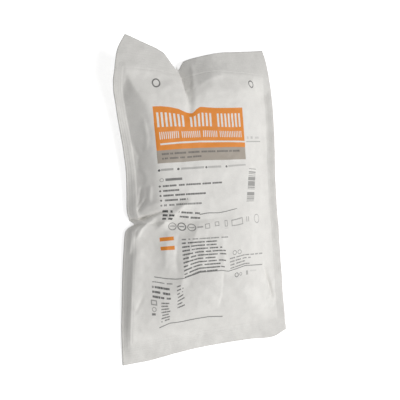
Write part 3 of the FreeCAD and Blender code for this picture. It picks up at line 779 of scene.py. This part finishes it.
def add_lights():
    world = bpy.data.worlds.new("studio")
    bpy.context.scene.world = world
    world.use_nodes = True
    tree = world.node_tree
    sky = tree.nodes["Background"]
    sky.inputs["Color"].default_value = WHITE
    shown = math_out(tree, "MAXIMUM", seen_ray_out(tree), WORLD_STRENGTH)
    tree.links.new(shown, sky.inputs["Strength"])
    data = bpy.data.lights.new("key", "AREA")
    data.shape = "SQUARE"
    data.size = KEY_SIZE
    data.energy = KEY_POWER
    lamp = bpy.data.objects.new("key", data)
    bpy.context.scene.collection.objects.link(lamp)
    lamp.location = KEY_PLACE
    lamp.rotation_euler = (-KEY_PLACE).to_track_quat("-Z", "Y").to_euler()


def new_group(name, inputs, outputs):
    """A shader node group with its sockets, its input node and its output node."""
    group = bpy.data.node_groups.new(name, "ShaderNodeTree")
    for label, kind in inputs:
        group.interface.new_socket(label, in_out="INPUT", socket_type=kind)
    for label in outputs:
        group.interface.new_socket(label, in_out="OUTPUT", socket_type="NodeSocketFloat")
    return group, group.nodes.new("NodeGroupInput").outputs, group.nodes.new("NodeGroupOutput").inputs


def box_mask(tree, across, up, left, right, low, high):
    beside = math_out(tree, "COMPARE", across, (left + right) / 2, (right - left) / 2)
    level = math_out(tree, "COMPARE", up, (low + high) / 2, (high - low) / 2)
    return math_out(tree, "MULTIPLY", beside, level)


def distance_out(tree, plan, across, up):
    node = tree.nodes.new("ShaderNodeVectorMath")
    node.operation = "DISTANCE"
    node.inputs[1].default_value = (across, up, 0)
    tree.links.new(plan, node.inputs[0])
    return node.outputs["Value"]


def frame_mask(tree, across, up, left, right, low, high, line):
    outer = box_mask(tree, across, up, left, right, low, high)
    inner = box_mask(tree, across, up, left + line, right - line, low + line, high - line)
    return math_out(tree, "SUBTRACT", outer, inner)


def stripe_mask(tree, along, pitch, share):
    place = math_out(tree, "FRACT", math_out(tree, "DIVIDE", along, pitch))
    return math_out(tree, "LESS_THAN", place, share)


def noise_out(tree, dimensions, where, scale, detail=0.0):
    node = add_node(tree, "ShaderNodeTexNoise", Scale=scale, Detail=detail)
    node.noise_dimensions = dimensions
    tree.links.new(where, node.inputs["W" if dimensions == "1D" else "Vector"])
    return node.outputs[0]


def random_out(tree, where):
    node = tree.nodes.new("ShaderNodeTexWhiteNoise")
    node.noise_dimensions = "1D"
    tree.links.new(where, node.inputs["W"])
    return node.outputs["Value"]


def small_print_group():
    """Rows of thin bars broken like words, ragged on the right."""
    names = ["Across", "Up", "Left", "Right", "Top", "Pitch", "Rows", "Thickness", "Ragged", "Slope"]
    group, given, put = new_group("small_print", [(n, "NodeSocketFloat") for n in names], ["Mask"])
    beyond = math_out(group, "SUBTRACT", given["Across"], given["Left"])
    fall = math_out(group, "MULTIPLY", beyond, given["Slope"])
    below = math_out(group, "SUBTRACT", given["Top"], math_out(group, "SUBTRACT", given["Up"], fall))
    counted = math_out(group, "DIVIDE", below, given["Pitch"])
    row = math_out(group, "FLOOR", counted)
    depth = math_out(group, "MULTIPLY", math_out(group, "FRACT", counted), given["Pitch"])
    on_line = math_out(group, "LESS_THAN", depth, given["Thickness"])
    first = math_out(group, "GREATER_THAN", counted, 0.0)
    last = math_out(group, "LESS_THAN", counted, given["Rows"])
    seed = math_out(group, "ADD", row, given["Top"])
    length = math_out(group, "SUBTRACT", given["Right"], given["Left"])
    missing = math_out(group, "MULTIPLY", math_out(group, "MULTIPLY", length, given["Ragged"]),
                       random_out(group, seed))
    end = math_out(group, "SUBTRACT", given["Right"], missing)
    after = math_out(group, "GREATER_THAN", given["Across"], given["Left"])
    before = math_out(group, "LESS_THAN", given["Across"], end)
    words = math_out(group, "MULTIPLY_ADD", seed, WORD_SHIFT, given["Across"])
    gaps = math_out(group, "GREATER_THAN", noise_out(group, "1D", words, WORD_SCALE), WORD_GAP)
    texture = noise_out(group, "1D", words, LETTER_SCALE)
    shade = math_out(group, "MULTIPLY_ADD", texture, LETTER_CONTRAST, LETTER_BASE)
    mask = math_out(group, "MULTIPLY", on_line, math_out(group, "MULTIPLY", first, last))
    mask = math_out(group, "MULTIPLY", mask, math_out(group, "MULTIPLY", after, before))
    mask = math_out(group, "MULTIPLY", mask, math_out(group, "MULTIPLY", gaps, shade))
    group.links.new(mask, put["Mask"])
    return group


def stripe_code_mask(tree, across, up):
    """A leaning strip of plain stripes, some thick and some thin."""
    strength, left, right, low, high, lean, pitch = STRIPE_CODE
    upright = math_out(tree, "MULTIPLY_ADD", up, -lean, across)
    field = box_mask(tree, upright, up, left, right, low, high)
    stripe = math_out(tree, "FLOOR", math_out(tree, "DIVIDE", up, pitch))
    dark = math_out(tree, "GREATER_THAN", random_out(tree, stripe), STRIPE_CODE_BARE)
    return math_out(tree, "MULTIPLY", math_out(tree, "MULTIPLY", field, dark), strength)


def strongest(tree, masks):
    total = masks[0]
    for mask in masks[1:]:
        total = math_out(tree, "MAXIMUM", total, mask)
    return total


def print_group():
    """The print as masks: orange, grey field, light bars on them, and grey ink."""
    group, given, put = new_group("pouch_print", [("Place", "NodeSocketVector")],
                                  ["Orange", "Grey", "Light", "Ink"])
    parts = group.nodes.new("ShaderNodeSeparateXYZ")
    group.links.new(given["Place"], parts.inputs[0])
    across, up, front = parts.outputs
    flat = group.nodes.new("ShaderNodeCombineXYZ")
    group.links.new(across, flat.inputs["X"])
    group.links.new(up, flat.inputs["Y"])
    plan = flat.outputs[0]

    orange = strongest(group, [box_mask(group, across, up, *box) for box in [ORANGE_FIELD, *ORANGE_BARS]])
    light = [box_mask(group, across, up, *LABEL_RULE)]
    for pitch, share, low, high, fields in LIGHT_BARS:
        stripes = stripe_mask(group, across, pitch, share)
        boxes = [box_mask(group, across, up, left, right, low, high) for left, right in fields]
        light.append(math_out(group, "MULTIPLY", stripes, strongest(group, boxes)))
    ink = [stripe_code_mask(group, across, up)]
    for strength, *box in GREY_BARS:
        ink.append(math_out(group, "MULTIPLY", box_mask(group, across, up, *box), strength))
    for strength, *box in GREY_FRAMES:
        ink.append(math_out(group, "MULTIPLY", frame_mask(group, across, up, *box), strength))
    for strength, x, y, radius in GREY_DOTS:
        dot = math_out(group, "LESS_THAN", distance_out(group, plan, x, y), radius)
        ink.append(math_out(group, "MULTIPLY", dot, strength))
    for strength, x, y, radius, line in GREY_RINGS:
        ring = math_out(group, "COMPARE", distance_out(group, plan, x, y), radius, line / 2)
        ink.append(math_out(group, "MULTIPLY", ring, strength))
    small = small_print_group()
    for strength, *values in SMALL_PRINT:
        node = group.nodes.new("ShaderNodeGroup")
        node.node_tree = small
        group.links.new(across, node.inputs["Across"])
        group.links.new(up, node.inputs["Up"])
        for socket, value in zip(list(node.inputs)[2:], values):
            socket.default_value = value
        ink.append(math_out(group, "MULTIPLY", node.outputs["Mask"], strength))
    masks = {"Orange": orange, "Grey": box_mask(group, across, up, *GREY_FIELD),
             "Light": strongest(group, light), "Ink": strongest(group, ink)}
    for name, mask in masks.items():
        group.links.new(math_out(group, "MULTIPLY", mask, front), put[name])
    return group


def mix_out(tree, share, first, second, blend="MIX"):
    """One colour over another, by a share that may be a mask."""
    node = tree.nodes.new("ShaderNodeMix")
    node.data_type = "RGBA"
    node.blend_type = blend
    for index, value in ((MIX_SHARE, share), (MIX_FIRST, first), (MIX_SECOND, second)):
        if isinstance(value, (int, float, tuple)):
            node.inputs[index].default_value = value
        else:
            tree.links.new(value, node.inputs[index])
    return node.outputs[MIX_RESULT]


def map_out(tree, value, low, high):
    """A share from 0 at one value to 1 at another."""
    node = tree.nodes.new("ShaderNodeMapRange")
    tree.links.new(value, node.inputs["Value"])
    node.inputs["From Min"].default_value = low
    node.inputs["From Max"].default_value = high
    return node.outputs["Result"]


def dimmed_out(tree, colour, share, tone):
    """A colour that is dimmer where the share is high."""
    dim = mix_out(tree, share, WHITE, (tone, tone, tone, 1.0))
    return mix_out(tree, 1.0, colour, dim, "MULTIPLY")


def pressed_lines_out(tree, inside):
    """Fine lines that the seal bar pressed into the margin, and the deeper line inside them."""
    wave = math_out(tree, "SINE", math_out(tree, "MULTIPLY", inside, 2 * math.pi / RIB_PITCH))
    ribs = math_out(tree, "MULTIPLY", wave, math_out(tree, "LESS_THAN", inside, 0.0))
    ribs = math_out(tree, "MULTIPLY", ribs, RIB_DEPTH)
    from_line = map_out(tree, math_out(tree, "ABSOLUTE", inside), 0.0, LINE_WIDTH)
    line = math_out(tree, "SUBTRACT", 1.0, from_line)
    return math_out(tree, "MULTIPLY_ADD", line, -LINE_DEPTH, ribs)


def paper_grain_group():
    """Fibres and mottling of the paper: a height for the bump and a tone."""
    group, given, put = new_group("paper_grain", [("Place", "NodeSocketVector")], ["Height", "Mottle"])
    stretch = add_node(group, "ShaderNodeMapping", Scale=FIBRE_STRETCH)
    group.links.new(given["Place"], stretch.inputs["Vector"])
    fibres = noise_out(group, "3D", stretch.outputs[0], FIBRE_SCALE, FIBRE_DETAIL)
    specks = noise_out(group, "3D", given["Place"], SPECK_SCALE, SPECK_DETAIL)
    mottle = noise_out(group, "3D", given["Place"], MOTTLE_SCALE, MOTTLE_DETAIL)
    group.links.new(math_out(group, "MULTIPLY_ADD", specks, SPECK_SHARE, fibres), put["Height"])
    both = math_out(group, "MULTIPLY", math_out(group, "ADD", mottle, fibres), MOTTLE_SHARE)
    group.links.new(map_out(group, both, TONE_LOW, TONE_HIGH), put["Mottle"])
    return group


def attribute_out(tree, name, socket):
    node = tree.nodes.new("ShaderNodeAttribute")
    node.attribute_name = name
    return node.outputs[socket]


def paper_material():
    """White medical paper, dimmer where it is sealed, with painted shade on the header and its print in
    thin ink.
    """
    material = bpy.data.materials.new("pouch_paper")
    material.use_nodes = True
    tree = material.node_tree
    shader = tree.nodes["Principled BSDF"]
    where = tree.nodes.new("ShaderNodeTexCoord").outputs["Object"]
    grain = tree.nodes.new("ShaderNodeGroup")
    grain.node_tree = paper_grain_group()
    tree.links.new(where, grain.inputs["Place"])
    printed = tree.nodes.new("ShaderNodeGroup")
    printed.node_tree = print_group()
    tree.links.new(attribute_out(tree, "print_place", "Vector"), printed.inputs["Place"])
    inside = attribute_out(tree, "inside_seals", "Fac")
    header = attribute_out(tree, "painted_header_shade", "Fac")

    paper = mix_out(tree, grain.outputs["Mottle"], PAPER, PAPER_DIM)
    colour = mix_out(tree, printed.outputs["Orange"], paper, ORANGE_INK)
    colour = mix_out(tree, printed.outputs["Grey"], colour, GREY_INK)
    colour = mix_out(tree, printed.outputs["Light"], colour, paper)
    colour = mix_out(tree, printed.outputs["Ink"], colour, DARK_INK)
    seal = map_out(tree, inside, SEAL_TONE_REACH, -SEAL_TONE_REACH)
    colour = dimmed_out(tree, colour, seal, SEAL_TONE)
    # Painted shade: the header's colour is dimmed, most at its left, to stand in for the shade on it
    colour = dimmed_out(tree, colour, header, PAINTED_HEADER_SHADE)
    tree.links.new(colour, shader.inputs["Base Color"])

    rough = math_out(tree, "MULTIPLY_ADD", grain.outputs["Mottle"], ROUGHNESS_SPREAD, PAPER_ROUGHNESS)
    inked = math_out(tree, "MAXIMUM", printed.outputs["Orange"], printed.outputs["Grey"])
    rough = math_out(tree, "MULTIPLY_ADD", inked, INK_SMOOTHING, rough)
    tree.links.new(rough, shader.inputs["Roughness"])
    bump = add_node(tree, "ShaderNodeBump", Strength=GRAIN_STRENGTH, Distance=GRAIN_DEPTH)
    height = math_out(tree, "ADD", grain.outputs["Height"], pressed_lines_out(tree, inside))
    tree.links.new(height, bump.inputs["Height"])
    tree.links.new(bump.outputs["Normal"], shader.inputs["Normal"])
    return material


bpy.context.scene.view_settings.view_transform = "Standard"
add_camera()
add_floor()
add_lights()
pouch = add_two_sheets()
shape_pouch(pouch)
smooth(pouch)
pouch.data.materials.append(paper_material())
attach(pouch, "root")
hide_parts(NODE)
